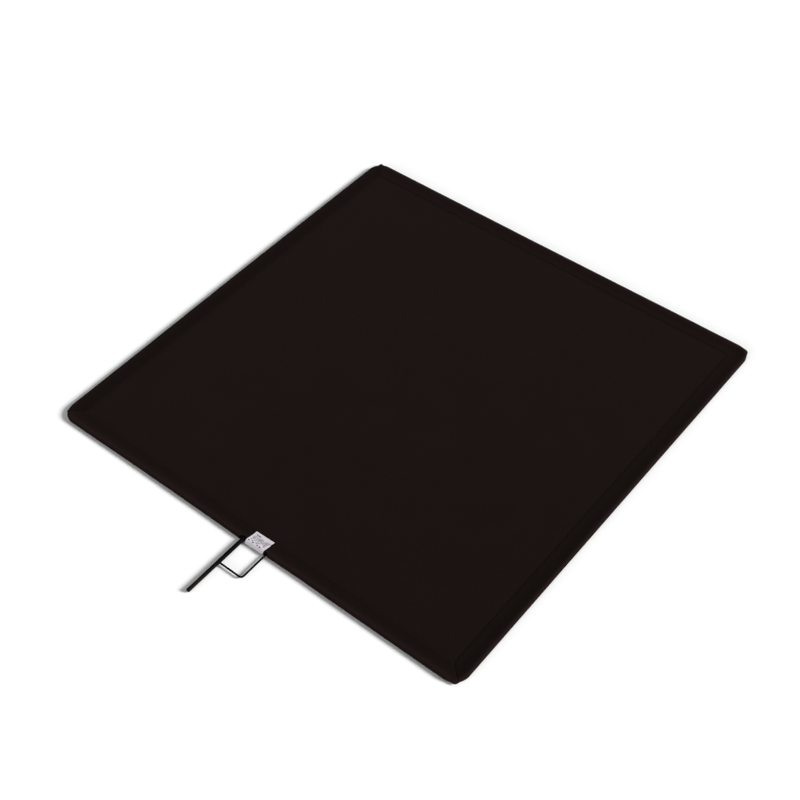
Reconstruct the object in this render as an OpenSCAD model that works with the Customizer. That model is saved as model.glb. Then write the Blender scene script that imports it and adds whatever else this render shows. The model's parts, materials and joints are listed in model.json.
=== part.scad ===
// Solid black lighting flag: a square cloth sewn round a closed tube frame, with a mounting pin and a
// wire hanging loop at the middle of the front side. It lies flat, +Z up. The pin side is the front, -Y.
// The origin is the middle of the whole outline, pin included, on the surface that the flag lies on.

/* [Flag] */
// Side of the square, measured over the cloth
flag_side = 1219.2; // [457.2:0.1:1219.2]
// Outer corner radius of the square, over the cloth
corner_r = 40; // [34:1:41]

/* [Frame tube] */
// Outside diameter of the frame tube
tube_d = 9.525; // [9:0.005:10]
// Wall of the frame tube
tube_wall = 1.2; // [0.9:0.1:1.6]
// Length of the spigot that bridges the tube's two ends
spigot_len = 90; // [60:5:120]

/* [Mounting pin] */
// Diameter of the mounting pin
pin_d = 9.525; // [9:0.005:9.525]
// Place of the pin's axis along the front side, from its middle
pin_x = -3.5; // [-6:0.1:0]
// How far the pin's end stands out from the cloth's front edge
pin_reach = 176; // [150:1:190]
// Chamfer at the pin's end
pin_chamfer = 1; // [0.5:0.1:1.5]
// Length of the bare stretch that a grip head clamps, from the chamfer to the coating's shoulder
grip_len = 94; // [60:1:94]
// Thickness of the coating on the rest of the pin
pin_coat = 0.2; // [0.2:0.05:0.3]

/* [Hanging loop] */
// Diameter of the loop's wire
wire_d = 4.76; // [4:0.02:5]
// Distance from the pin's axis to the leg of the loop
loop_width = 70; // [68:0.5:72]
// Distance from the cloth's front edge out to the arm of the loop
loop_reach = 77.5; // [65:0.5:80]
// Bend radius at the wire's centreline
loop_bend_r = 7; // [6:0.5:10]

/* [Cloth] */
// Thickness of one layer of the cloth
cloth_t = 1; // [0.8:0.1:1.2]
// Depth of the hem sleeve, from the outer edge to its inner edge
hem_depth = 45; // [42:1:50]
// Width of the flat lips where the sleeve is sewn to the panel
lip_width = 9; // [8:1:10]
// Outer radius of the sleeve round the tube
sleeve_r = 6.45; // [6.4:0.01:6.5]
// Width that the panel reaches into the sleeve
panel_tuck = 15; // [12:1:16]

/* [Thread] */
// Diameter of the sewing thread as sewn
thread_d = 0.7; // [0.5:0.1:0.9]
// Distance from the sleeve's inner edge to its row of stitches
seam_inset = 3; // [2:0.5:4]

/* [Label] */
// Width of the sewn label, along the front edge
label_w = 53; // [40:1:53]
// Distance from the pin's axis to the label's near side
label_x = 10.5; // [8.5:0.5:11.5]
// Depth of the label on top of the flag
label_depth = 37.5; // [28:0.5:38]
// Thickness of the label
label_t = 0.4; // [0.3:0.1:0.5]
// Length of the label's free tail below the middle of the rim
label_tail = 3; // [2:0.5:5]

/* [Hidden] */
$fn = 96;

eps = 0.01;
tube_r = tube_d / 2;
pin_r = pin_d / 2;
coated_pin_r = pin_r + pin_coat;
wire_r = wire_d / 2;
tube_bore_r = tube_r - tube_wall;
spigot_gap = 0.05;

// The sleeve is pressed flat by this much where the flag rests on it.
rest_flat = 0.2;
axis_z = sleeve_r - rest_flat;
rim_wall = cloth_t + rest_flat;
sleeve_bore_r = sleeve_r - rim_wall;
slack = 0.15;
slot_half = cloth_t / 2 + slack;
lip_half = slot_half + cloth_t;
lip_u = hem_depth - lip_width;

// The pin and the square share one outline, whose middle is the origin.
half = flag_side / 2;
square_y = pin_reach / 2;
front_y = square_y - half;
leg_x = pin_x + loop_width;
tube_inset = sleeve_r;
bend_r = corner_r - tube_inset;
run_half = half - corner_r;

// The weld collars, and the room that the sleeve leaves round them.
pin_weld_leg = 1;
wire_weld_leg = 1.2;
pin_scallop_r = pin_r + pin_weld_leg + 2.2;
wire_scallop_r = wire_r + wire_weld_leg + 1.4;

label_thread_r = 0.2;
label_seam_end = 1;

black_steel = [0.09, 0.09, 0.09];
black_cloth = [0.11, 0.09, 0.09];
white_cloth = [0.86, 0.85, 0.88];

// Angle, from the +u axis, of the point where a line from (u, h) above the tube's axis touches a
// circle of radius r round that axis.
function touch_angle(r, u, h) =
    atan2(h, u - sleeve_r) + acos(r / norm([u - sleeve_r, h]));

// That point itself, a hair inside the circle, on the upper side when s is 1 and the lower when -1.
function touch_point(r, u, h, s) =
    let (a = touch_angle(r, u, h), k = r - eps)
    [sleeve_r + k * cos(a), axis_z + s * k * sin(a)];

// A circle round the tube's axis, drawn out along two tangents to a flat tongue of half-height h.
module teardrop_section(r, h, end_u) {
    translate([sleeve_r, axis_z]) circle(r);
    polygon([touch_point(r, lip_u, h, 1), [lip_u, axis_z + h], [end_u, axis_z + h],
             [end_u, axis_z - h], [lip_u, axis_z - h], touch_point(r, lip_u, h, -1)]);
}

// The sleeve's section: u runs inwards from the outer edge, and the second coordinate is the height.
module hem_section() {
    difference() {
        intersection() {
            teardrop_section(sleeve_r, lip_half, hem_depth);
            square([2 * hem_depth, 3 * sleeve_r]);
        }
        teardrop_section(sleeve_bore_r, slot_half, hem_depth + 1);
    }
}

// Puts its child, made for the front side with the square's centre at the origin, on another side.
module on_side(turn) {
    translate([0, square_y, 0]) rotate([0, 0, turn]) children();
}

// A section laid along the front side, from x = -length / 2 to length / 2.
module along_front(length) {
    translate([-length / 2, -half, 0]) rotate([90, 0, 90]) linear_extrude(length) children();
}

// The part of a section outside the bend's centre, turned about the front right corner's bend.
module round_corner(from_angle, angle) {
    translate([run_half, -run_half, 0]) rotate([0, 0, from_angle]) rotate_extrude(angle = angle)
        intersection() {
            translate([corner_r, 0]) mirror([1, 0]) children();
            square([corner_r + 1, 3 * sleeve_r]);
        }
}

// One hem sleeve of the front side: a straight run mitred at its ends, and half of each corner.
module hem() {
    mitre = hem_depth + 1;
    plan = [[-run_half, -half - 1], [run_half, -half - 1], [run_half, -run_half],
            [half - mitre, mitre - half], [mitre - half, mitre - half], [-run_half, -run_half]];
    intersection() {
        along_front(2 * half) hem_section();
        translate([0, 0, -1]) linear_extrude(4 * sleeve_r) polygon(plan);
    }
    round_corner(-90, 45) hem_section();
    mirror([1, 0, 0]) round_corner(-90, 45) hem_section();
}

// A straight stretch of frame tube along X, at the tube's place on the front side.
module front_tube(x0, x1) {
    translate([x0, tube_inset - half, axis_z]) rotate([0, 90, 0]) difference() {
        cylinder(r = tube_r, h = x1 - x0);
        translate([0, 0, -1]) cylinder(r = tube_bore_r, h = x1 - x0 + 2);
    }
}

// One bend of the frame tube, at the front right corner of the square.
module tube_bend() {
    translate([run_half, -run_half, axis_z]) rotate([0, 0, -90]) rotate_extrude(angle = 90)
        translate([bend_r, 0]) difference() {
            circle(tube_r);
            circle(tube_bore_r);
        }
}

// A round bar along -Y, whose axis crosses x at the tube's height, between two y places.
module bar_y(x, y_back, y_front, r) {
    translate([x, y_back, axis_z]) rotate([90, 0, 0]) cylinder(r = r, h = y_back - y_front);
}

// The space that the frame tube fills along the front side, used to fit things to it.
module front_tube_space() {
    translate([-run_half, front_y + tube_inset, axis_z]) rotate([0, 90, 0])
        cylinder(r = tube_r, h = 2 * run_half);
}

// A straight round bar between two points.
module bar(a, b, r) {
    d = b - a;
    translate(a) rotate([0, acos(d.z / norm(d)), atan2(d.y, d.x)]) cylinder(r = r, h = norm(d), $fn = 24);
}

// Height of the sleeve's upper skin at a depth u in from the outer edge, beyond the tube.
function skin_z(u) =
    let (t = touch_point(sleeve_r, lip_u, lip_half, 1))
    u > lip_u ? axis_z + lip_half
              : axis_z + lip_half + (t.y - axis_z - lip_half) * (lip_u - u) / (lip_u - t.x);

module frame_left() { color(black_steel) on_side(-90) front_tube(-run_half, run_half); }
module frame_right() { color(black_steel) on_side(90) front_tube(-run_half, run_half); }
module frame_back() { color(black_steel) on_side(180) front_tube(-run_half, run_half); }
module frame_front_left() { color(black_steel) on_side(0) front_tube(-run_half, pin_x); }
module frame_front_right() { color(black_steel) on_side(0) front_tube(pin_x, run_half); }
module bend_front_left() { color(black_steel) on_side(-90) tube_bend(); }
module bend_front_right() { color(black_steel) on_side(0) tube_bend(); }
module bend_back_left() { color(black_steel) on_side(180) tube_bend(); }
module bend_back_right() { color(black_steel) on_side(90) tube_bend(); }

// Inside the tube, across the joint between its two ends.
module frame_spigot() {
    color("dimgray") translate([pin_x - spigot_len / 2, front_y + tube_inset, axis_z]) rotate([0, 90, 0])
        cylinder(r = tube_bore_r - spigot_gap, h = spigot_len);
}

// The pin's inner end is coped to the round of the frame tube, and its outer end is chamfered. The
// coating on the inner stretch ends in a thin shoulder, beyond which the pin is bare.
module mounting_pin() {
    end_y = front_y - pin_reach;
    color(black_steel) difference() {
        union() {
            bar_y(pin_x, front_y + tube_inset, end_y + pin_chamfer, pin_r);
            bar_y(pin_x, front_y + tube_inset, end_y + pin_chamfer + grip_len, coated_pin_r);
            translate([pin_x, end_y + pin_chamfer, axis_z]) rotate([90, 0, 0])
                cylinder(r1 = pin_r, r2 = pin_r - pin_chamfer, h = pin_chamfer);
        }
        front_tube_space();
    }
}

// A collar of weld round a bar of radius r that stands on the frame tube at x.
module tube_weld(x, r, leg) {
    difference() {
        bar_y(x, front_y + tube_inset, front_y + tube_inset - tube_r - leg, r + leg);
        bar_y(x, front_y + tube_inset + 1, front_y - 2 * leg, r);
        front_tube_space();
    }
}

module pin_weld() { color(black_steel) tube_weld(pin_x, coated_pin_r, pin_weld_leg); }
module loop_frame_weld() { color(black_steel) tube_weld(leg_x, wire_r, wire_weld_leg); }

// The wire runs out from the pin, turns once, and comes back to the frame tube.
module hanging_loop() {
    arm_y = front_y - loop_reach;
    corner = [leg_x - loop_bend_r, arm_y + loop_bend_r, axis_z];
    color(black_steel) difference() {
        union() {
            translate([pin_x, arm_y, axis_z]) rotate([0, 90, 0]) cylinder(r = wire_r, h = corner.x - pin_x);
            translate(corner) rotate([0, 0, -90]) rotate_extrude(angle = 90)
                translate([loop_bend_r, 0]) circle(wire_r);
            bar_y(leg_x, front_y + tube_inset, corner.y, wire_r);
        }
        bar_y(pin_x, front_y, front_y - pin_reach, coated_pin_r);
        front_tube_space();
    }
}

// A collar of weld round the wire where its arm meets the side of the pin.
module loop_pin_weld() {
    color(black_steel) translate([pin_x, front_y - loop_reach, axis_z]) difference() {
        rotate([0, 90, 0]) cylinder(r = wire_r + wire_weld_leg, h = coated_pin_r + wire_weld_leg);
        rotate([0, 90, 0]) cylinder(r = wire_r, h = 2 * pin_r);
        rotate([90, 0, 0]) cylinder(r = coated_pin_r, h = 4 * pin_r, center = true);
    }
}

// The single layer of cloth inside the hems. Its edges are tucked between the sleeves' lips.
module cloth_panel() {
    w = 2 * (half - hem_depth + panel_tuck);
    color(black_cloth) translate([-w / 2, square_y - w / 2, axis_z - cloth_t / 2]) cube([w, w, cloth_t]);
}

// A round scallop cut down through the front rim at x.
module scallop(x, r) {
    translate([x, front_y, -1]) cylinder(r = r, h = 3 * sleeve_r);
}

// The front sleeve is scalloped at the rim where the pin and the loop's leg come out of it.
module hem_front() {
    color(black_cloth) difference() {
        on_side(0) hem();
        scallop(pin_x, pin_scallop_r);
        scallop(leg_x, wire_scallop_r);
    }
}

module hem_back() { color(black_cloth) on_side(180) hem(); }
module hem_left() { color(black_cloth) on_side(-90) hem(); }
module hem_right() { color(black_cloth) on_side(90) hem(); }

// A square line of stitches on each face, near the sleeves' inner edges.
module hem_thread() {
    w = 2 * (half - hem_depth + seam_inset);
    color("black") translate([0, square_y, axis_z]) for (s = [-1, 1])
        translate([0, 0, s * (lip_half + thread_d / 2)]) linear_extrude(thread_d, center = true)
            difference() {
                square(w + thread_d, center = true);
                square(w - thread_d, center = true);
            }
}

// How far in from both sides the point at sleeve depth u lies on a corner's diagonal.
function diagonal_depth(u) = u < corner_r ? corner_r - (corner_r - u) / sqrt(2) : u;

// A point over the front right corner's diagonal, at sleeve depth u and a height of r off the skin.
function mitre_point(u, s, r) =
    let (d = diagonal_depth(u))
    [half - d, d - half, axis_z + s * (skin_z(u) - axis_z + r)];

// The seam where two sleeves meet on a corner's diagonal, on each face.
module mitre_thread() {
    r = thread_d / 2;
    color("black") for (turn = [0:90:270]) on_side(turn) for (s = [-1, 1])
        bar(mitre_point(2 * sleeve_r, s, r), mitre_point(lip_u, s, r), r);
}

// The label follows the sleeve's upper skin, turns down over the rim and ends in a short free tail.
// Its curved stretch runs a degree past the touch point, so that it joins the straight one.
module label() {
    r0 = sleeve_r + slack;
    far = 3 * r0;
    t = touch_angle(sleeve_r, lip_u, lip_half);
    skin = [sleeve_r + r0 * cos(t), axis_z + r0 * sin(t)];
    back = [label_depth, skin_z(label_depth) + slack];
    color(white_cloth) translate([pin_x + label_x, front_y, 0]) rotate([90, 0, 90]) linear_extrude(label_w) {
        intersection() {
            translate([sleeve_r, axis_z]) difference() {
                circle(r0 + label_t);
                circle(r0);
            }
            polygon([[sleeve_r, axis_z], [-far, axis_z], [-far, far],
                     [sleeve_r + far * cos(t - 1), axis_z + far * sin(t - 1)]]);
        }
        polygon([skin, back, back + [0, label_t], skin + label_t * [cos(t), sin(t)]]);
        translate([-slack - label_t, axis_z - label_tail]) square([label_t, label_tail + eps]);
    }
}

// One row of stitches along the label's inner edge.
module label_thread() {
    u = label_depth - seam_inset;
    x = pin_x + label_x;
    y = front_y + u;
    z = skin_z(u) + slack + label_t + label_thread_r;
    color(white_cloth)
        bar([x + label_seam_end, y, z], [x + label_w - label_seam_end, y, z], label_thread_r);
}

frame_left();
frame_right();
frame_back();
frame_front_left();
frame_front_right();
bend_front_left();
bend_front_right();
bend_back_left();
bend_back_right();
frame_spigot();
mounting_pin();
pin_weld();
hanging_loop();
loop_pin_weld();
loop_frame_weld();
cloth_panel();
hem_front();
hem_back();
hem_left();
hem_right();
hem_thread();
mitre_thread();
label();
label_thread();
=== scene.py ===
"""Looks of a square solid black lighting flag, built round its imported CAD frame.

Metres, +Z up. The flag lies flat; its mounting pin points to -Y, and the square's sides follow X and Y.
"""

import json
import math

import bmesh
import bpy
import numpy as np
from mathutils import Matrix, Vector, noise


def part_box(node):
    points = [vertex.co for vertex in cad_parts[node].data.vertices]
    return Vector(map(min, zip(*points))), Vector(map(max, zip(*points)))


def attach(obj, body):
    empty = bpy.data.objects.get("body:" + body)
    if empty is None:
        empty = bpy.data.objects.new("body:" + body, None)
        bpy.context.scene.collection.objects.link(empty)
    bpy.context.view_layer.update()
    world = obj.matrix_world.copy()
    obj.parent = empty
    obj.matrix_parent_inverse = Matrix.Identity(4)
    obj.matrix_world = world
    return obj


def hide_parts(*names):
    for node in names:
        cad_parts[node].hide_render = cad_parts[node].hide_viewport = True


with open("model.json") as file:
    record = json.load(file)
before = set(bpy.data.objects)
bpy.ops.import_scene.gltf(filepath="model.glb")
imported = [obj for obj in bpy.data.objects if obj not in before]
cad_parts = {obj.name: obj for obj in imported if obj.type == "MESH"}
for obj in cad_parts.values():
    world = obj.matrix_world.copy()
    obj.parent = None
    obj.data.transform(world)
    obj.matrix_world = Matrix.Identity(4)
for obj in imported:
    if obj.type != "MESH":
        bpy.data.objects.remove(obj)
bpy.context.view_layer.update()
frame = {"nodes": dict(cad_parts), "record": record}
nodes = frame["nodes"]

MM = 0.001

# ---------------------------------------------------------------- sizes from the frame
tube_lo, tube_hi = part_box("frame_left")
bend_lo, bend_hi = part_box("bend_front_right")
pin_lo, pin_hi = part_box("mounting_pin")
loop_lo, loop_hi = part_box("hanging_loop")
label_lo, label_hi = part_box("label")
LEFT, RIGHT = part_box("hem_left")[0].x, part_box("hem_right")[1].x
FRONT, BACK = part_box("hem_front")[0].y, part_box("hem_back")[1].y
SIDE = RIGHT - LEFT
HALF = SIDE / 2
CENTRE = Vector(((LEFT + RIGHT) / 2, (FRONT + BACK) / 2, 0))
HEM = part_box("hem_left")[1].x - LEFT
TUBE_R = (tube_hi.x - tube_lo.x) / 2
INSET = (tube_lo.x + tube_hi.x) / 2 - LEFT
AXIS_Z = (tube_lo.z + tube_hi.z) / 2
CORNER_R = bend_hi.x - bend_lo.x - TUBE_R + INSET
STRAIGHT_HALF = HALF - CORNER_R
GRIP_LENGTH = next(m for m in frame["record"]["mounts"] if m["name"] == "pin")["dims"]["length_mm"] * MM
PIN_X = (pin_lo.x + pin_hi.x) / 2
COAT_R = (pin_hi.x - pin_lo.x) / 2
WIRE_R = (loop_hi.z - loop_lo.z) / 2
LEG_X = loop_hi.x - WIRE_R
ARM_Y = loop_lo.y + WIRE_R

# ---------------------------------------------------------------- cloth facts
CLOTH_T = 0.9 * MM
RIM_R = INSET
LIP_WIDTH = 9 * MM
LIP_H = 1.2 * MM
LIP_EDGE_T = 0.12 * MM
SEAM_U = HEM - 3 * MM
GROOVE_DEPTH, GROOVE_WIDTH = 0.06 * MM, 2 * MM
MITRE_DEPTH, MITRE_WIDTH, MITRE_FROM_U = 0.55 * MM, 1.6 * MM, 7 * MM
PUCKER_H = 0.42 * MM
SLACK_H = 0.38 * MM
PANEL_EDGE_U = HEM - 11 * MM
SAG = 1.6 * MM
SLOPE_SAG = 1.15 * MM
PIN_SCALLOP_R = 8 * MM
WIRE_SCALLOP_R = 5 * MM
SCALLOP_STRETCH = (1.15, 2, 1)
CUTTER_H = 0.06
# Where the mitred cloth comes to a point at each corner, named by the signs of its x and y:
# (angle from the X side in degrees, reach past the bend in mm, spread in degrees).
EARS = {(1, -1): (51, 5.3, 10), (1, 1): (51, 5.7, 14), (-1, 1): (54, 9.8, 8), (-1, -1): (36, 3.1, 6)}
EAR_H, EAR_END_U, EAR_FADE = 4.2 * MM, 14 * MM, 6 * MM
# Bumps of the front rim, in mm: (place along it, width, reach).
FRONT_BUMPS = ((30, 90, 1.3), (170, 60, -0.7), (-560, 130, 1.6))
BOW_FADE_U = 26 * MM
STITCH_PITCH, STITCH_T = 4.2 * MM, 0.62 * MM
MITRE_PITCH, MITRE_STITCH_T = 3.2 * MM, 0.55 * MM
STITCH_GAP = 0.2
CLOTH_FRAMES, QUICK_FRAMES = 24, 4


# ---------------------------------------------------------------- small mesh helpers
def make_object(name, verts, faces):
    """A smooth-shaded object in the scene, from its vertices and faces."""
    mesh = bpy.data.meshes.new(name)
    mesh.from_pydata([tuple(v) for v in verts], [], faces)
    mesh.update()
    mesh.polygons.foreach_set("use_smooth", [True] * len(mesh.polygons))
    obj = bpy.data.objects.new(name, mesh)
    bpy.context.scene.collection.objects.link(obj)
    return obj


def grid_faces(rows, columns, wrap_rows=False, wrap_columns=False):
    """Quads of a grid whose vertex (i, j) has index i * columns + j."""
    faces = []
    for i in range(rows if wrap_rows else rows - 1):
        for j in range(columns if wrap_columns else columns - 1):
            i2, j2 = (i + 1) % rows, (j + 1) % columns
            faces.append((i * columns + j, i2 * columns + j, i2 * columns + j2, i * columns + j2))
    return faces


def apply_modifiers(obj):
    """Replaces the mesh by what its modifiers make of it."""
    graph = bpy.context.evaluated_depsgraph_get()
    mesh = bpy.data.meshes.new_from_object(obj.evaluated_get(graph))
    old = obj.data
    obj.modifiers.clear()
    obj.data = mesh
    bpy.data.meshes.remove(old)


def clean(obj, merge):
    """Merges doubled points and makes the normals agree."""
    bm = bmesh.new()
    bm.from_mesh(obj.data)
    bmesh.ops.remove_doubles(bm, verts=bm.verts, dist=merge)
    bmesh.ops.dissolve_degenerate(bm, edges=bm.edges, dist=merge / 2)
    bmesh.ops.recalc_face_normals(bm, faces=bm.faces)
    bm.to_mesh(obj.data)
    bm.free()


def thicken(obj, thickness, thin=None, least=1.0):
    """Gives a sheet its thickness, half to each side. Group thin says where it is full, from 0, least, to 1."""
    solid = obj.modifiers.new("thickness", "SOLIDIFY")
    if thin:
        solid.vertex_group = thin
        solid.thickness_vertex_group = least
    solid.thickness = thickness
    solid.offset = 0
    solid.use_even_offset = False
    apply_modifiers(obj)


def tube_along(points, radii, sides, closed=False):
    """Vertices and faces of a tube along points, with a radius at each point. Open ends are capped."""
    points = [Vector(p) for p in points]
    n = len(points)
    radii = radii if hasattr(radii, "__len__") else [radii] * n
    verts = []
    up = Vector((0, 0, 1))
    for i, p in enumerate(points):
        a = points[i - 1] if closed or i else p
        b = points[(i + 1) % n] if closed or i < n - 1 else p
        tangent = (b - a).normalized()
        across = tangent.cross(up).normalized()
        over = across.cross(tangent)
        for k in range(sides):
            angle = 2 * math.pi * k / sides
            verts.append(p + radii[i] * (math.cos(angle) * across + math.sin(angle) * over))
    faces = grid_faces(n, sides, wrap_rows=closed, wrap_columns=True)
    if not closed:
        faces += [tuple(range(sides - 1, -1, -1)), tuple(range((n - 1) * sides, n * sides))]
    return verts, faces


def join_parts(name, parts):
    """One object from several (vertices, faces)."""
    verts, faces = [], []
    for part_verts, part_faces in parts:
        start = len(verts)
        verts += list(part_verts)
        faces += [tuple(start + k for k in face) for face in part_faces]
    return make_object(name, verts, faces)


def finish_piece(obj, material, slot, *cad_nodes):
    """Gives a piece its material, and lets it stand for its CAD nodes. The slot is not used."""
    obj.data.materials.clear()
    obj.data.materials.append(material)
    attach(obj, "root")
    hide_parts(*cad_nodes)


# ---------------------------------------------------------------- fields shared by the cloth pieces
def ripple(x, y, scale, seed):
    """Smooth noise in about -1 to 1, at places in metres, with a feature size of scale."""
    return noise.noise(Vector((x / scale, y / scale, seed)))


def edge_depth(x, y):
    """Depth in from the nearest side of the square, and the place along that side."""
    dx, dy = HALF - abs(x - CENTRE.x), HALF - abs(y - CENTRE.y)
    return (dx, y) if dx < dy else (dy, x)


def pucker(x, y):
    """Height of the fine puckers that the stitches draw up on both sides of a seam."""
    u, _ = edge_depth(x, y)
    reach = 9 * MM if u < SEAM_U else 16 * MM
    near = math.exp(-abs(u - SEAM_U) / reach)
    fine = ripple(x, y, 9 * MM, 3.1) + 0.6 * ripple(x, y, 23 * MM, 7.7)
    return PUCKER_H * near * fine


def seam_groove(u):
    """Depth of the groove that the row of stitches pulls into a hem's face."""
    return GROOVE_DEPTH * math.exp(-((u - SEAM_U) / GROOVE_WIDTH) ** 2)


def section():
    """The sleeve's middle surface as (depth, height), from the top lip's edge, over the rim, to the bottom lip's."""
    r = RIM_R - CLOTH_T / 2
    lip_u, lip_h = HEM - LIP_WIDTH, LIP_H - CLOTH_T / 2
    reach = math.hypot(lip_u - INSET, lip_h)
    touch = math.atan2(lip_h, lip_u - INSET) + math.acos(r / reach)
    edge_h = (CLOTH_T + LIP_EDGE_T) / 2
    lip_steps, slope_steps, arc_steps = 6, 12, 11
    top = []
    for k in range(lip_steps):
        rise = math.sin(math.pi / 2 * k / lip_steps) ** 0.8
        top.append((HEM - k * LIP_WIDTH / lip_steps, edge_h + (lip_h - edge_h) * rise))
    tangent = (INSET + r * math.cos(touch), r * math.sin(touch))
    for k in range(slope_steps):
        s = k / slope_steps
        hollow = SLOPE_SAG * math.sin(math.pi * s ** 0.85)
        top.append((lip_u + (tangent[0] - lip_u) * s, lip_h + (tangent[1] - lip_h) * s - hollow))
    for k in range(arc_steps):
        a = touch + (math.pi - touch) * k / arc_steps
        top.append((INSET + r * math.cos(a), r * math.sin(a)))
    return top + [(INSET - r, 0)] + [(u, -h) for u, h in reversed(top)]


def stations():
    """Places along one hem: ('corner', -1 or 1, angle) at its ends, and ('straight', -1 to 1, 0) between."""
    angles = [math.radians(a) for a in (45, 40, 35, 30, 25, 20, 15, 10, 5)]
    steps = 236
    row = [("corner", -1, a) for a in angles]
    row += [("straight", -1 + 2 * k / steps, 0) for k in range(steps + 1)]
    row += [("corner", 1, a) for a in reversed(angles)]
    return row


def place(kind, value, angle, u):
    """Plan place (along, depth) of a station's point at depth u."""
    if kind == "straight":
        return value * (HALF - max(u, CORNER_R)), u
    if u <= CORNER_R:
        r = CORNER_R - u
        return value * (STRAIGHT_HALF + r * math.sin(angle)), CORNER_R - r * math.cos(angle)
    return value * (HALF - u), u


SIDES = {"front": 0, "right": 90, "back": 180, "left": 270}


def to_square(along, depth, turn):
    """World x, y of a place along a side and a depth in from it."""
    a = math.radians(turn)
    x, y = along, depth - HALF
    return CENTRE.x + x * math.cos(a) - y * math.sin(a), CENTRE.y + x * math.sin(a) + y * math.cos(a)


def bow(along, side):
    """How far the rim stands out from straight, along one side."""
    t = along / HALF
    if side == "left":
        return 0.75 * MM * math.cos(math.pi * (t - 0.2))
    if side == "back":
        return -0.6 * MM * math.cos(math.pi * t)
    if side == "front":
        return sum(out * MM * math.exp(-((along / MM - at) / width) ** 2) for at, width, out in FRONT_BUMPS)
    return 0.0


def ear(corner, angle):
    """Reach of a corner's point past the bend, at an angle in degrees from the X side."""
    middle, reach, spread = EARS[corner]
    return reach * MM * math.exp(-((angle - middle) / spread) ** 2)


def hem_point(side, kind, value, angle, u, h):
    """World place of one point of a hem's middle surface, with its natural unevenness."""
    along, depth = place(kind, value, angle, u)
    x, y = to_square(along, depth, SIDES[side])
    slope = max(0.0, min(1.0, (HEM - LIP_WIDTH - u) / (20 * MM)))
    sign = 1 if h > 0 else -1 if h < 0 else 0
    slack = SLACK_H * slope * (ripple(x, y, 55 * MM, 1.3 + sign) + 0.5 * ripple(x, y, 17 * MM, 4.9 + sign))
    mitre = 0.0
    if u > MITRE_FROM_U:
        seam = math.exp(-(mitre_distance(along, depth) / MITRE_WIDTH) ** 2)
        mitre = MITRE_DEPTH * seam * min(1.0, (u - MITRE_FROM_U) / (6 * MM))
    height = h + sign * (slack * (1 if h > 0 else 0.4) - seam_groove(u) - mitre) + pucker(x, y)
    a = math.radians(SIDES[side])
    push = bow(along if side in ("front", "right") else -along, side) * max(0.0, 1 - u / BOW_FADE_U)
    x += push * math.sin(a)
    y -= push * math.cos(a)
    corner = (1 if x > CENTRE.x else -1, 1 if y > CENTRE.y else -1)
    bend = Vector((CENTRE.x + corner[0] * STRAIGHT_HALF, CENTRE.y + corner[1] * STRAIGHT_HALF))
    out = Vector((x, y)) - bend
    if u < CORNER_R and out.x * corner[0] > -20 * MM and out.y * corner[1] > -20 * MM:
        reach = ear(corner, math.degrees(math.atan2(out.y * corner[1], out.x * corner[0])))
        tip = math.exp(-(h / EAR_H) ** 2) * max(0.0, min(1.0, (EAR_END_U - u) / EAR_FADE))
        x += out.x / out.length * reach * tip
        y += out.y / out.length * reach * tip
    z = max(AXIS_Z + height, CLOTH_T / 2)
    return x, y, z


def mitre_distance(along, depth):
    """Distance of a place from the nearest corner's diagonal."""
    return abs((HALF - abs(along)) - depth) / math.sqrt(2)


# Painted light on the cloth, for each side: how much the rim is lit up as a painted highlight, and how dark the slope
# is made as painted shade. The panel is 1.
# Between the depths below, in mm, it changes evenly.
PAINTED_LIGHT_U = (7, 11, 20, 42, 52)
PAINTED_LIGHT = {"front": (1.5, 0.78), "right": (1.25, 0.76), "back": (1.7, 0.9), "left": (1.0, 0.6)}


def set_painted_light(obj, rim, slope):
    """Writes the painted light at each point: the painted highlight rim over the rim, the painted shade slope on the
    hem's slope, and 1 past the hem.
    """
    wear_and_painted_light = []
    for v in obj.data.vertices:
        u, _ = edge_depth(v.co.x, v.co.y)
        wear_and_painted_light.append(float(np.interp(u / MM, PAINTED_LIGHT_U, (rim, 0.75 * rim, slope, slope, 1.0))))
    obj.data.attributes.new("wear_and_painted_light", "FLOAT", "POINT").data.foreach_set("value", wear_and_painted_light)


def build_hem(side):
    """One side's sleeve: its section swept along the side, with mitred ends and lips that thin to an edge."""
    row = stations()
    profile = section()
    verts = [hem_point(side, kind, value, angle, u, h) for kind, value, angle in row for u, h in profile]
    obj = make_object(f"hem_{side}_cloth", verts, grid_faces(len(row), len(profile)))
    full = obj.vertex_groups.new(name="full")
    for i in range(len(verts)):
        k = min(i % len(profile), len(profile) - 1 - i % len(profile))
        full.add([i], min(1.0, k / 4), "REPLACE")
    clean(obj, 2e-5)
    thicken(obj, CLOTH_T, "full", LIP_EDGE_T / CLOTH_T)
    # Painted highlight over the rim and painted shade on the slope, for this side.
    set_painted_light(obj, *PAINTED_LIGHT[side])
    return obj


def cut_scallop(obj, x, r):
    """Cuts a scallop of depth r, and about as wide to each side, down through the front rim."""
    bpy.ops.mesh.primitive_cylinder_add(vertices=64, radius=r, depth=CUTTER_H, location=(x, FRONT - r, AXIS_Z))
    cutter = bpy.context.object
    cutter.scale = SCALLOP_STRETCH
    cut = obj.modifiers.new("scallop", "BOOLEAN")
    cut.object = cutter
    cut.solver = "EXACT"
    apply_modifiers(obj)
    bpy.data.objects.remove(cutter)
    obj.data.polygons.foreach_set("use_smooth", [True] * len(obj.data.polygons))


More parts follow.
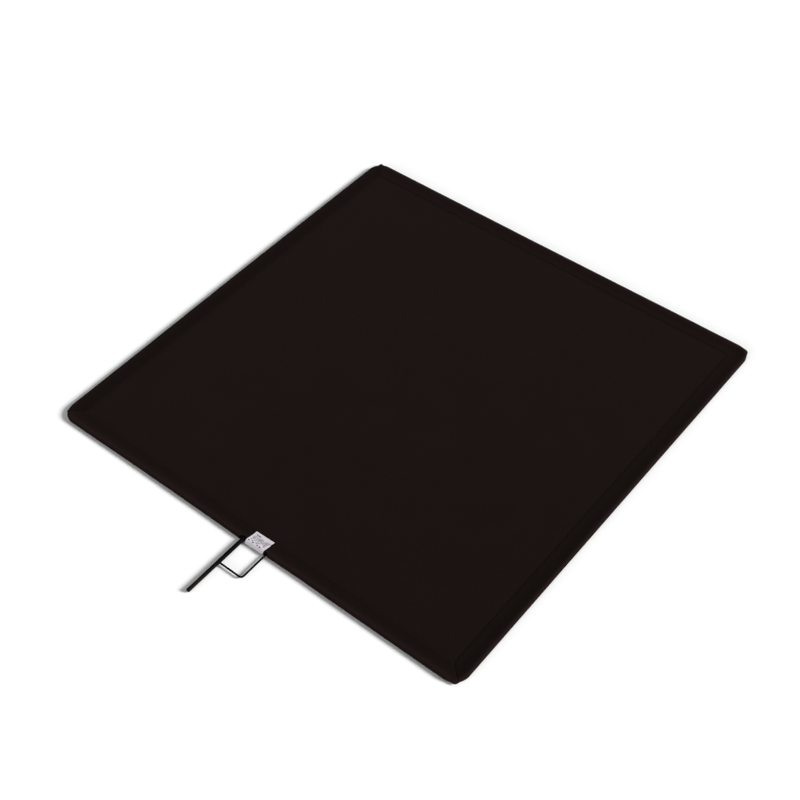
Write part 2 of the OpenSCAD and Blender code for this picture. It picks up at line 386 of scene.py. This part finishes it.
# ---------------------------------------------------------------- the panel, sagged by simulation
def build_panel():
    """One layer of cloth held along the seams, which hangs a little under its own weight."""
    cells = 90
    w = HALF - PANEL_EDGE_U
    at = [-w + 2 * w * k / cells for k in range(cells + 1)]
    verts = [(CENTRE.x + x, CENTRE.y + y, AXIS_Z) for x in at for y in at]
    obj = make_object("panel_cloth", verts, grid_faces(cells + 1, cells + 1))
    held = obj.vertex_groups.new(name="held")
    for v in obj.data.vertices:
        u, _ = edge_depth(v.co.x, v.co.y)
        if u < HEM:
            held.add([v.index], 1.0, "REPLACE")
    simulate(obj)
    subdivide = obj.modifiers.new("finer", "SUBSURF")
    subdivide.levels = subdivide.render_levels = 1
    apply_modifiers(obj)
    co = np.empty(len(obj.data.vertices) * 3)
    obj.data.vertices.foreach_get("co", co)
    co = co.reshape(-1, 3)
    sag = AXIS_Z - co[:, 2]
    deepest = max(sag.max(), 1e-6)
    for i, (x, y, _) in enumerate(co):
        u, _ = edge_depth(x, y)
        free = min(1.0, max(0.0, (u - HEM) / (60 * MM)))
        waves = 0.2 * MM * ripple(x, y, 150 * MM, 5.5) + 0.05 * MM * ripple(x, y, 37 * MM, 8.2)
        co[i, 2] = AXIS_Z - SAG * sag[i] / deepest + free * waves + pucker(x, y)
    obj.data.vertices.foreach_set("co", co.ravel())
    thicken(obj, CLOTH_T)
    # Painted shade on the panel's edge beside the seam, fading to none further in.
    set_painted_light(obj, 1.0, 0.8)
    return obj


def simulate(obj):
    """Hangs a sheet by its held edge for a second, and keeps the shape that it takes."""
    cloth = obj.modifiers.new("cloth", "CLOTH")
    s = cloth.settings
    s.quality = 5
    s.mass = 0.03
    s.tension_stiffness = s.compression_stiffness = 25
    s.shear_stiffness = 8
    s.bending_stiffness = 0.4
    s.shrink_min = s.shrink_max = -0.0015
    s.vertex_group_mass = "held"
    cloth.collision_settings.use_collision = False
    cloth.collision_settings.use_self_collision = False
    scene = bpy.context.scene
    frames = CLOTH_FRAMES
    cloth.point_cache.frame_end = frames
    for f in range(1, frames + 1):
        scene.frame_set(f)
    apply_modifiers(obj)
    scene.frame_set(1)


# ---------------------------------------------------------------- stitches
def stitch_row(start, end, surface, pitch, thickness):
    """Stitches from start to end, both (x, y), lying on surface(x, y) -> z. STITCH_GAP of each pitch stays bare."""
    start, end = Vector(start), Vector(end)
    length = (end - start).length
    count = max(1, round(length / pitch))
    direction = (end - start) / length
    side = Vector((-direction.y, direction.x))
    step = length / count
    rings, sides = 5, 6
    parts = []
    for k in range(count):
        middle = start + direction * (k + 0.5) * step
        reach = step * (1 - STITCH_GAP) / 2
        slant = side * 0.12 * MM * noise.noise(Vector((k * 0.7, start.x * 9, start.y * 9)))
        pts = []
        for i in range(rings):
            t = -1 + 2 * i / (rings - 1)
            p = middle + direction * reach * t + slant * t
            dip = thickness * 0.85 * t * t * t * t
            pts.append((p.x, p.y, surface(p.x, p.y) + surface.side * (thickness * 0.3 - dip)))
        parts.append(tube_along(pts, [thickness / 2 * (0.8 + 0.2 * math.cos(math.pi * (i / (rings - 1) - 0.5) * 2))
                                      for i in range(rings)], sides))
    return parts


def on_skin(side):
    """A function giving the height of the hem's outer skin on the top (side 1) or bottom (side -1)."""
    profile = [(u, abs(h)) for u, h in section()[: len(section()) // 2]]
    us = [u for u, _ in reversed(profile)]
    hs = [h for _, h in reversed(profile)]

    def height(x, y):
        u, _ = edge_depth(x, y)
        h = float(np.interp(u, us, hs)) + CLOTH_T / 2
        return AXIS_Z + side * (h - seam_groove(u)) + pucker(x, y)

    height.side = side
    return height


def hem_stitches():
    """The row round the hems, on both faces."""
    w = HALF - SEAM_U
    corners = [(-w, -w), (w, -w), (w, w), (-w, w)]
    parts = []
    for face in (1, -1):
        surface = on_skin(face)
        for k in range(4):
            a, b = corners[k], corners[(k + 1) % 4]
            start, end = (CENTRE.x + a[0], CENTRE.y + a[1]), (CENTRE.x + b[0], CENTRE.y + b[1])
            parts += stitch_row(start, end, surface, STITCH_PITCH, STITCH_T)
    return join_parts("hem_stitches", parts)


def mitre_stitches():
    """The short rows along the corners' diagonals, on both faces."""
    parts = []
    for face in (1, -1):
        surface = on_skin(face)
        for sx in (-1, 1):
            for sy in (-1, 1):
                a = HALF - 17 * MM
                b = HALF - SEAM_U + 1.5 * MM
                parts += stitch_row((CENTRE.x + sx * a, CENTRE.y + sy * a), (CENTRE.x + sx * b, CENTRE.y + sy * b),
                                    surface, MITRE_PITCH, MITRE_STITCH_T)
    return join_parts("mitre_stitches", parts)


# ---------------------------------------------------------------- the label
LABEL_W = label_hi.x - label_lo.x + 0.1 * MM
LABEL_X = (label_lo.x + label_hi.x) / 2
LABEL_DEPTH = 41.5 * MM
LABEL_TOP_U = 36.9 * MM
LABEL_TILT = 1.6 * MM
LABEL_SHEAR = 1.5 * MM
LABEL_T = 0.35 * MM
FOLD_H, FOLD_EDGE = 0.75 * MM, 0.7 * MM
LIFT_H, LIFT_FROM, LIFT_WIDTH = 1.8 * MM, 0.75, 3.5 * MM
CURL_FROM = 0.74
# The hem's section from the seam to a little past the rim, and how far each point is along it.
RIM_POINT = len(section()) // 2
label_path = np.array(section()[: RIM_POINT + 9])
label_run = np.concatenate([[0], np.cumsum(np.linalg.norm(np.diff(label_path, axis=0), axis=1))])


def label_point(across, q, over=0.0):
    """World place on the label, across from 0 to 1 and q down from its inner edge, at a height over its skin."""
    top = slice(0, RIM_POINT + 1)
    start = float(np.interp(-LABEL_TOP_U, -label_path[top, 0], label_run[top]))
    w = start + q - LABEL_TILT * (across - 0.5)

    def on_path(at):
        return Vector([float(np.interp(at, label_run, label_path[:, axis])) for axis in (0, 1)])

    here, along = on_path(w), (on_path(w + 0.8 * MM) - on_path(w - 0.8 * MM)).normalized()
    normal = Vector((along.y, -along.x))
    t = q / LABEL_DEPTH
    side = abs(2 * across - 1)
    fold_end = (6.8 + 4.4 * across) * MM
    fold = FOLD_H * min(1.0, max(0.0, (fold_end - q) / FOLD_EDGE + 0.5))
    lifted = LIFT_H * max(0.0, across - LIFT_FROM) / 0.25 * math.exp(-((q - fold_end + 1 * MM) / LIFT_WIDTH) ** 2)
    curl = (1.2 + 1.0 * (1 - across)) * MM * max(0.0, (t - CURL_FROM) / 0.26) ** 1.6
    cupped = 0.45 * MM * side ** 5 * min(1.0, q / (9 * MM))
    waves = 0.3 * MM * abs(ripple(across * LABEL_W, q, 13 * MM, 2.2)) * min(1.0, q / (12 * MM))
    off = CLOTH_T / 2 + 0.3 * MM + fold + lifted + curl + cupped + waves + over
    x = LABEL_X + LABEL_W * (across - 0.5) - LABEL_SHEAR * (t - 0.5)
    y = FRONT + here.x + normal.x * off
    z = AXIS_Z + here.y + normal.y * off + pucker(x, FRONT + here.x)
    return Vector((x, y, max(z, 0.5 * MM)))


def build_label():
    """White tape sewn along its folded inner edge, laid over the rim, with its front edge free."""
    rows, cols = 72, 48
    verts = [label_point(j / cols, LABEL_DEPTH * i / rows) for i in range(rows + 1) for j in range(cols + 1)]
    obj = make_object("label_cloth", verts, grid_faces(rows + 1, cols + 1))
    places = [(j / cols, i / rows, 0.0) for i in range(rows + 1) for j in range(cols + 1)]
    layer = obj.data.attributes.new("label_place", "FLOAT_VECTOR", "POINT")
    layer.data.foreach_set("vector", np.array(places).ravel())
    thicken(obj, LABEL_T)
    return obj


def label_stitches():
    """One row of stitches through the label's fold."""
    count, rings = 19, 5
    step, parts = 0.94 / count, []
    for k in range(count):
        middle = 0.03 + (k + 0.5) * step
        pts = []
        for i in range(rings):
            t = -1 + 2 * i / (rings - 1)
            pts.append(label_point(middle + t * step * 0.36, 4.6 * MM + 0.2 * MM * t, (0.28 - 0.3 * t ** 4) * MM))
        parts.append(tube_along(pts, 0.24 * MM, 6))
    return join_parts("label_stitches", parts)


# ---------------------------------------------------------------- welds
WELD_STEPS, WELD_RIPPLES = 72, 18


def weld_bead(points, bead):
    """A bead of weld laid in overlapping ripples along a closed line."""
    n = len(points)
    radii = [bead * (0.82 + 0.18 * abs(math.sin(math.pi * i * WELD_RIPPLES / n))) for i in range(n)]
    return tube_along(points, radii, 8, closed=True)


def on_tube(x, r):
    """The line where a bar of radius r, along Y at x, meets the front frame tube."""
    pts = []
    for k in range(WELD_STEPS):
        a = 2 * math.pi * k / WELD_STEPS
        dz = r * math.sin(a)
        y = FRONT + INSET - math.sqrt(max(TUBE_R ** 2 - dz * dz, (0.25 * TUBE_R) ** 2))
        pts.append((x + r * math.cos(a), y, AXIS_Z + dz))
    return pts


def on_pin():
    """The line where the loop's arm meets the side of the pin."""
    pts = []
    for k in range(WELD_STEPS):
        a = 2 * math.pi * k / WELD_STEPS
        dz = WIRE_R * math.sin(a)
        pts.append((PIN_X + math.sqrt(COAT_R ** 2 - dz * dz), ARM_Y + WIRE_R * math.cos(a), AXIS_Z + dz))
    return pts


# ---------------------------------------------------------------- materials
CLOTH_DARK = (0.0060, 0.0034, 0.0030)
CLOTH_MID = (0.0078, 0.0046, 0.0041)
CLOTH_PALE = (0.0101, 0.0062, 0.0057)
# The label's print, as plain bars: middle down the label, half height, start and end across, as shares, and darkness.
LABEL_BARS = [
    (0.165, 0.024, 0.13, 0.22, 1.0), (0.17, 0.026, 0.24, 0.38, 1.0), (0.29, 0.018, 0.1, 0.3, 0.85),
    (0.29, 0.018, 0.35, 0.62, 0.85), (0.3, 0.018, 0.68, 0.9, 0.85), (0.36, 0.018, 0.08, 0.22, 0.85),
    (0.36, 0.018, 0.27, 0.58, 0.85), (0.37, 0.018, 0.63, 0.9, 0.85), (0.43, 0.018, 0.09, 0.34, 0.85),
    (0.43, 0.018, 0.39, 0.7, 0.85), (0.44, 0.018, 0.75, 0.91, 0.85), (0.5, 0.018, 0.12, 0.27, 0.9),
    (0.5, 0.018, 0.33, 0.5, 0.9), (0.51, 0.018, 0.55, 0.86, 0.9), (0.58, 0.022, 0.09, 0.17, 1.0),
    (0.58, 0.022, 0.28, 0.36, 1.0), (0.6, 0.022, 0.46, 0.62, 0.9), (0.61, 0.034, 0.8, 0.88, 1.0),
    (0.67, 0.026, 0.2, 0.28, 1.0), (0.68, 0.026, 0.42, 0.52, 1.0), (0.74, 0.032, 0.07, 0.14, 1.0),
    (0.75, 0.032, 0.3, 0.38, 1.0), (0.76, 0.032, 0.55, 0.62, 0.85), (0.78, 0.034, 0.69, 0.77, 0.9),
]


def new_material(name):
    mat = bpy.data.materials.new(name)
    mat.use_nodes = True
    tree = mat.node_tree
    return mat, tree, tree.nodes["Principled BSDF"]


def add_node(tree, kind, inputs=None, **settings):
    node = tree.nodes.new(kind)
    for key, value in settings.items():
        setattr(node, key, value)
    for key, value in (inputs or {}).items():
        node.inputs[key].default_value = value
    return node


def place_of(tree, scale=(1, 1, 1), rotation=0.0):
    """The place on the piece in its own axes, scaled and turned about Z."""
    where = add_node(tree, "ShaderNodeTexCoord")
    mapping = add_node(tree, "ShaderNodeMapping", {"Scale": scale, "Rotation": (0, 0, rotation)})
    tree.links.new(where.outputs["Object"], mapping.inputs["Vector"])
    return mapping.outputs["Vector"]


def noise_of(tree, vector, scale, detail=2.0, roughness=0.5):
    node = add_node(tree, "ShaderNodeTexNoise", {"Scale": scale, "Detail": detail, "Roughness": roughness})
    tree.links.new(vector, node.inputs["Vector"])
    return node.outputs["Fac"]


def wave_of(tree, vector, scale, direction, distortion=0.0):
    node = add_node(tree, "ShaderNodeTexWave", {"Scale": scale, "Distortion": distortion}, bands_direction=direction)
    tree.links.new(vector, node.inputs["Vector"])
    return node.outputs["Fac"]


def math_of(tree, operation, a, b):
    node = add_node(tree, "ShaderNodeMath", operation=operation)
    for socket, value in zip(node.inputs, (a, b)):
        if isinstance(value, (int, float)):
            socket.default_value = value
        else:
            tree.links.new(value, socket)
    return node.outputs[0]


def ramp_of(tree, fac, stops):
    node = add_node(tree, "ShaderNodeValToRGB")
    ramp = node.color_ramp
    while len(ramp.elements) < len(stops):
        ramp.elements.new(0.5)
    for element, (at, colour) in zip(ramp.elements, stops):
        element.position = at
        element.color = (*colour, 1)
    tree.links.new(fac, node.inputs["Fac"])
    return node.outputs["Color"]


def bump_of(tree, height, strength, distance, shader):
    node = add_node(tree, "ShaderNodeBump", {"Strength": strength, "Distance": distance})
    tree.links.new(height, node.inputs["Height"])
    tree.links.new(node.outputs["Normal"], shader.inputs["Normal"])


def black_cloth():
    """Brushed black cotton with a short nap: a faint twill, fine mottling, a warm cast, and a sheen at low angles.

    The painted-light attribute is 1 on the panel, higher over the rim as a painted highlight, and lower on the slope
    beside the seam as painted shade.
    """
    mat, tree, shader = new_material("black_cloth")
    here = place_of(tree)
    twill = wave_of(tree, place_of(tree, rotation=math.radians(52)), 620, "X", 1.2)
    nap = noise_of(tree, here, 900, 3, 0.65)
    tufts = noise_of(tree, here, 150, 3, 0.6)
    cloud = noise_of(tree, here, 9, 2, 0.5)
    # Painted light: the colour is scaled up over the rim as a painted highlight and down on the slope as painted
    # shade.
    wear_and_painted_light = add_node(tree, "ShaderNodeAttribute", attribute_name="wear_and_painted_light")
    tone = math_of(tree, "ADD", math_of(tree, "MULTIPLY", cloud, 0.14),
                   math_of(tree, "ADD", math_of(tree, "MULTIPLY", tufts, 0.5), math_of(tree, "MULTIPLY", nap, 0.36)))
    colour = ramp_of(tree, tone, [(0.3, CLOTH_DARK), (0.5, CLOTH_MID), (0.7, CLOTH_PALE)])
    painted_light_colour = add_node(tree, "ShaderNodeVectorMath", operation="SCALE")
    tree.links.new(colour, painted_light_colour.inputs[0])
    tree.links.new(wear_and_painted_light.outputs["Fac"], painted_light_colour.inputs["Scale"])
    tree.links.new(painted_light_colour.outputs["Vector"], shader.inputs["Base Color"])
    rough = math_of(tree, "ADD", math_of(tree, "MULTIPLY", tufts, 0.12), 0.84)
    tree.links.new(rough, shader.inputs["Roughness"])
    shader.inputs["Specular IOR Level"].default_value = 0.03
    shader.inputs["Sheen Weight"].default_value = 0.022
    shader.inputs["Sheen Roughness"].default_value = 0.5
    shader.inputs["Sheen Tint"].default_value = (1.0, 0.593, 0.537, 1)
    height = math_of(tree, "ADD", math_of(tree, "MULTIPLY", twill, 0.35),
                     math_of(tree, "ADD", math_of(tree, "MULTIPLY", nap, 0.4), math_of(tree, "MULTIPLY", tufts, 0.6)))
    bump_of(tree, height, 0.4, 0.2 * MM, shader)
    return mat


def thread_material(name, dark, light):
    """Two-ply spun thread, its twist running round each stitch."""
    mat, tree, shader = new_material(name)
    twist = wave_of(tree, place_of(tree, rotation=math.radians(38)), 1100, "X", 0.6)
    fuzz = noise_of(tree, place_of(tree), 1600, 2)
    both = math_of(tree, "ADD", math_of(tree, "MULTIPLY", twist, 0.6), math_of(tree, "MULTIPLY", fuzz, 0.4))
    tree.links.new(ramp_of(tree, both, [(0.25, dark), (0.8, light)]), shader.inputs["Base Color"])
    shader.inputs["Roughness"].default_value = 0.62
    shader.inputs["Specular IOR Level"].default_value = 0.1
    shader.inputs["Sheen Weight"].default_value = 0.02
    bump_of(tree, both, 0.6, 0.1 * MM, shader)
    return mat


def label_material():
    """White woven tape with plain dark bars in place of print."""
    mat, tree, shader = new_material("label_cloth")
    where = add_node(tree, "ShaderNodeAttribute", attribute_name="label_place")
    split = add_node(tree, "ShaderNodeSeparateXYZ")
    tree.links.new(where.outputs["Vector"], split.inputs["Vector"])
    p, q = split.outputs["X"], split.outputs["Y"]
    ink = None
    for middle, half, start, end, dark in LABEL_BARS:
        down = math_of(tree, "LESS_THAN", math_of(tree, "ABSOLUTE", math_of(tree, "SUBTRACT", q, middle), 0), half)
        across = math_of(tree, "MULTIPLY", math_of(tree, "GREATER_THAN", p, start),
                         math_of(tree, "LESS_THAN", p, end))
        bar = math_of(tree, "MULTIPLY", math_of(tree, "MULTIPLY", down, across), dark)
        ink = bar if ink is None else math_of(tree, "MAXIMUM", ink, bar)
    here = place_of(tree)
    worn = noise_of(tree, here, 900, 2, 0.6)
    ink = math_of(tree, "MULTIPLY", ink, math_of(tree, "ADD", math_of(tree, "MULTIPLY", worn, 0.5), 0.8))
    weave = math_of(tree, "MULTIPLY", wave_of(tree, here, 1100, "X"), wave_of(tree, here, 1100, "Y"))
    mix = add_node(tree, "ShaderNodeMix", data_type="RGBA")
    mix.inputs[6].default_value = (0.63, 0.59, 0.635, 1)
    mix.inputs[7].default_value = (0.03, 0.025, 0.038, 1)
    tree.links.new(ink, mix.inputs[0])
    shade = add_node(tree, "ShaderNodeMix", data_type="RGBA", blend_type="MULTIPLY")
    shade.inputs[0].default_value = 0.35
    tree.links.new(mix.outputs[2], shade.inputs[6])
    tree.links.new(ramp_of(tree, weave, [(0.0, (0.72, 0.71, 0.74)), (0.6, (1, 1, 1))]), shade.inputs[7])
    tree.links.new(shade.outputs[2], shader.inputs["Base Color"])
    shader.inputs["Roughness"].default_value = 0.5
    shader.inputs["Specular IOR Level"].default_value = 0.35
    shader.inputs["Sheen Weight"].default_value = 0.1
    bump_of(tree, math_of(tree, "ADD", weave, math_of(tree, "MULTIPLY", worn, 0.3)), 0.35, 0.08 * MM, shader)
    return mat


def painted_steel(name, worn_from=None):
    """Satin black paint with fine orange peel, worn thin in places, and more so from worn_from on towards -Y."""
    mat, tree, shader = new_material(name)
    here = place_of(tree)
    drawn = place_of(tree, scale=(1, 0.08, 1))
    peel = noise_of(tree, here, 520, 3, 0.5)
    scratches = noise_of(tree, drawn, 900, 4, 0.7)
    patches = noise_of(tree, here, 65, 4, 0.65)
    wear_and_painted_light = math_of(tree, "ADD", math_of(tree, "MULTIPLY", scratches, 0.5), math_of(tree, "MULTIPLY", patches, 0.5))
    limit = 0.655
    if worn_from is not None:
        where = add_node(tree, "ShaderNodeTexCoord")
        split = add_node(tree, "ShaderNodeSeparateXYZ")
        tree.links.new(where.outputs["Object"], split.inputs["Vector"])
        wear = {"From Min": worn_from + 30 * MM, "From Max": worn_from - 55 * MM, "To Min": 0.0, "To Max": 0.13}
        out = add_node(tree, "ShaderNodeMapRange", wear)
        tree.links.new(split.outputs["Y"], out.inputs["Value"])
        wear_and_painted_light = math_of(tree, "ADD", wear_and_painted_light, out.outputs["Result"])
    bare = ramp_of(tree, wear_and_painted_light, [(limit - 0.05, (0, 0, 0)), (limit + 0.04, (1, 1, 1))])
    mix = add_node(tree, "ShaderNodeMix", data_type="RGBA")
    mix.inputs[6].default_value = (0.0025, 0.0018, 0.0017, 1)
    mix.inputs[7].default_value = (0.012, 0.0092, 0.0076, 1)
    tree.links.new(bare, mix.inputs[0])
    tree.links.new(mix.outputs[2], shader.inputs["Base Color"])
    tree.links.new(math_of(tree, "MULTIPLY", bare, 0.6), shader.inputs["Metallic"])
    rough = math_of(tree, "SUBTRACT", math_of(tree, "ADD", math_of(tree, "MULTIPLY", peel, 0.2), 0.5),
                    math_of(tree, "MULTIPLY", bare, 0.06))
    tree.links.new(rough, shader.inputs["Roughness"])
    shader.inputs["Specular IOR Level"].default_value = 0.03
    height = math_of(tree, "ADD", math_of(tree, "MULTIPLY", peel, 0.6), math_of(tree, "MULTIPLY", bare, -0.8))
    bump_of(tree, height, 0.25, 0.06 * MM, shader)
    return mat


def floor_material():
    mat, tree, shader = new_material("floor")
    here = place_of(tree)
    tree.links.new(ramp_of(tree, noise_of(tree, here, 3, 2), [(0.3, (0.93, 0.93, 0.93)), (0.7, (0.95, 0.95, 0.95))]),
                   shader.inputs["Base Color"])
    shader.inputs["Roughness"].default_value = 0.9
    shader.inputs["Specular IOR Level"].default_value = 0.0
    return mat


# ---------------------------------------------------------------- build everything
cloth = black_cloth()
black_thread = thread_material("black_thread", (0.0046, 0.0028, 0.0025), (0.0105, 0.0064, 0.0058))
white_thread = thread_material("white_thread", (0.55, 0.54, 0.58), (0.85, 0.84, 0.88))
label_white = label_material()
frame_paint = painted_steel("frame_paint")
pin_paint = painted_steel("pin_paint", worn_from=pin_lo.y + GRIP_LENGTH)
weld_paint = painted_steel("weld_paint")

panel = build_panel()
finish_piece(panel, cloth, "black_cloth", "cloth_panel")
for side in SIDES:
    hem = build_hem(side)
    if side == "front":
        cut_scallop(hem, PIN_X, PIN_SCALLOP_R)
        cut_scallop(hem, LEG_X, WIRE_SCALLOP_R)
    finish_piece(hem, cloth, "black_cloth", f"hem_{side}")

finish_piece(hem_stitches(), black_thread, "black_thread", "hem_thread")
finish_piece(mitre_stitches(), black_thread, "black_thread", "mitre_thread")

label = build_label()
finish_piece(label, label_white, "label_cloth", "label")
finish_piece(label_stitches(), white_thread, "label_thread", "label_thread")

pin_bead = join_parts("pin_weld_bead", [weld_bead(on_tube(PIN_X, COAT_R + 0.3 * MM), 1.0 * MM)])
finish_piece(pin_bead, weld_paint, "weld", "pin_weld")
loop_bead = join_parts("loop_frame_weld_bead", [weld_bead(on_tube(LEG_X, WIRE_R + 0.3 * MM), 0.9 * MM)])
finish_piece(loop_bead, weld_paint, "weld", "loop_frame_weld")
arm_bead = join_parts("loop_pin_weld_bead", [weld_bead(on_pin(), 1.0 * MM)])
finish_piece(arm_bead, weld_paint, "weld", "loop_pin_weld")

for name, obj in nodes.items():
    if name.startswith(("frame_", "bend_", "hanging_", "mounting_")):
        obj.data.materials.clear()
        obj.data.materials.append(pin_paint if name == "mounting_pin" else frame_paint)

# ---------------------------------------------------------------- camera, floor and light
CAMERA_AZIMUTH, CAMERA_ELEVATION, CAMERA_ROLL = map(math.radians, (39.773, 48.591, 1.181))
CAMERA_DISTANCE = 2.829 * SIDE
LENS, SENSOR = 63.12, 36
TARGET = CENTRE + Vector((0.0074 * SIDE, -0.04735 * SIDE, 0))
FLOOR_SIZE, FLOOR_Z = 60, -0.0002
WORLD_STRENGTH = 0.22

away = Vector((math.sin(CAMERA_AZIMUTH) * math.cos(CAMERA_ELEVATION),
               -math.cos(CAMERA_AZIMUTH) * math.cos(CAMERA_ELEVATION), math.sin(CAMERA_ELEVATION)))
look = bpy.data.cameras.new("camera")
look.lens, look.sensor_width = LENS, SENSOR
look.clip_start, look.clip_end = 0.05, 200
camera = bpy.data.objects.new("camera", look)
bpy.context.scene.collection.objects.link(camera)
right = (-away).cross(Vector((0, 0, 1))).normalized()
down = (-away).cross(right)
rolled_right = right * math.cos(CAMERA_ROLL) + down * math.sin(CAMERA_ROLL)
rolled_up = right * math.sin(CAMERA_ROLL) - down * math.cos(CAMERA_ROLL)
axes = Matrix((rolled_right, rolled_up, away)).transposed()
camera.matrix_world = Matrix.Translation(TARGET + away * CAMERA_DISTANCE) @ axes.to_4x4()
bpy.context.scene.camera = camera

bpy.ops.mesh.primitive_plane_add(size=FLOOR_SIZE, location=(0, 0, FLOOR_Z))
floor = bpy.context.object
floor.name = "floor"
floor.data.materials.append(floor_material())

world = bpy.data.worlds.new("studio")
world.use_nodes = True
world.node_tree.nodes["Background"].inputs["Color"].default_value = (1, 1, 1, 1)
world.node_tree.nodes["Background"].inputs["Strength"].default_value = WORLD_STRENGTH
bpy.context.scene.world = world


def add_sun(name, plan, elevation, energy, spread):
    """A wide soft light from a plan direction (x, y) and an elevation in degrees."""
    light = bpy.data.lights.new(name, "SUN")
    light.energy = energy
    light.angle = math.radians(spread)
    obj = bpy.data.objects.new(name, light)
    e = math.radians(elevation)
    toward = Vector((*(Vector(plan).normalized() * math.cos(e)), math.sin(e)))
    obj.rotation_mode = "QUATERNION"
    obj.rotation_quaternion = toward.to_track_quat("Z", "Y")
    bpy.context.scene.collection.objects.link(obj)


add_sun("key", (0.8955, 0.445), 27.1, 5.15, 19)
add_sun("front_fill", (-0.2, -0.98), 11, 1.8, 50)
bpy.context.scene.view_settings.view_transform = "Standard"
